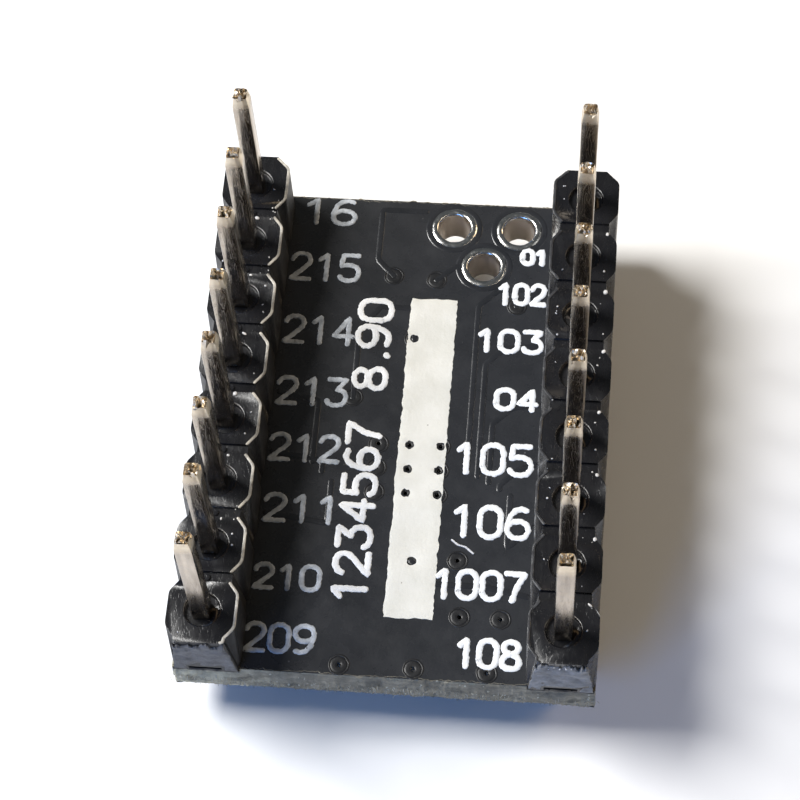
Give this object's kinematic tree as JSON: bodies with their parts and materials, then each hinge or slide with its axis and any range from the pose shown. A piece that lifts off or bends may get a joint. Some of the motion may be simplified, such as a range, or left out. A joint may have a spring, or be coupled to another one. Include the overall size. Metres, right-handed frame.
{
  "type": "stepper driver module",
  "caption": "Plug-in carrier board that drives a stepper motor: a driver chip and trimmer on one face, two rows of long square pins standing from the other.",
  "frame": {"origin": "under the middle of the board, level with the cut ends of the solder tails that the module stands on", "axes": "+Z the way the long contact pins point, X across the two pin rows, Y along the rows with the trimmer end at +Y"},
  "size_m": [0.0152, 0.0204, 0.0118],
  "materials": {
    "laminate": "black solder mask over glass-epoxy laminate",
    "tinned_copper": "tinned copper",
    "header_moulding": "moulded, slightly glossy",
    "plated_pin": "tin-plated square wire",
    "solder": "bright solder",
    "chip_moulding": "fine matt moulding compound",
    "chip_leadframe": "tin-plated lead frame",
    "silicon": "polished silicon",
    "bond_wire": "gold wire",
    "trimmer_ceramic": "white alumina",
    "resistive_film": "fired resistive film",
    "trimmer_terminal": "tin-plated strip",
    "rotor_metal": "stamped, lightly brushed",
    "wiper_spring": "spring alloy strip",
    "end_cap": "tin-plated end cap",
    "capacitor_ceramic": "fired tan ceramic",
    "resistor_glaze": "black glaze",
    "resistor_ceramic": "white alumina"
  },
  "bodies": {
    "board_assembly": {"board_probe_holes": "tinned_copper", "bulk_capacitor_1_body": "capacitor_ceramic", "bulk_capacitor_1_end_caps": "end_cap", "bulk_capacitor_2_body": "capacitor_ceramic", "bulk_capacitor_2_end_caps": "end_cap", "circuit_board": "laminate", "component_lands": "tinned_copper", "component_solder": "solder", "driver_chip_body": "chip_moulding", "driver_chip_bond_wires": "bond_wire", "driver_chip_die": "silicon", "driver_chip_leads": "chip_leadframe", "driver_chip_solder": "solder", "driver_chip_thermal_pad": "chip_leadframe", "left_header_body": "header_moulding", "left_header_pin_1": "plated_pin", "left_header_pin_2": "plated_pin", "left_header_pin_3": "plated_pin", "left_header_pin_4": "plated_pin", "left_header_pin_5": "plated_pin", "left_header_pin_6": "plated_pin", "left_header_pin_7": "plated_pin", "left_header_pin_8": "plated_pin", "left_header_solder": "solder", "pin_hole_plating": "tinned_copper", "right_header_body": "header_moulding", "right_header_pin_1": "plated_pin", "right_header_pin_2": "plated_pin", "right_header_pin_3": "plated_pin", "right_header_pin_4": "plated_pin", "right_header_pin_5": "plated_pin", "right_header_pin_6": "plated_pin", "right_header_pin_7": "plated_pin", "right_header_pin_8": "plated_pin", "right_header_solder": "solder", "sense_resistor_1_body": "resistor_ceramic", "sense_resistor_1_element": "resistor_glaze", "sense_resistor_1_end_caps": "end_cap", "sense_resistor_2_body": "resistor_ceramic", "sense_resistor_2_element": "resistor_glaze", "sense_resistor_2_end_caps": "end_cap", "signal_vias": "tinned_copper", "small_capacitor_bodies": "capacitor_ceramic", "small_capacitor_end_caps": "end_cap", "small_resistor_bodies": "resistor_ceramic", "small_resistor_elements": "resistor_glaze", "small_resistor_end_caps": "end_cap", "thermal_vias": "tinned_copper", "trimmer_base": "trimmer_ceramic", "trimmer_end_terminals": "trimmer_terminal", "trimmer_solder": "solder", "trimmer_track": "resistive_film", "trimmer_wiper_terminal": "trimmer_terminal"},
    "trimmer_rotor_assembly": {"trimmer_rotor": "rotor_metal", "trimmer_wiper": "wiper_spring", "trimmer_shaft_collar": "trimmer_terminal"}
  },
  "joints": [
    {"name": "trimmer_turn", "type": "hinge", "parent": "board_assembly", "child": "trimmer_rotor_assembly", "pos_m": [-0.0027, 0.00795, 0.0006], "axis": [0, 0, -1], "range_deg": [-125, 125]}
  ]
}
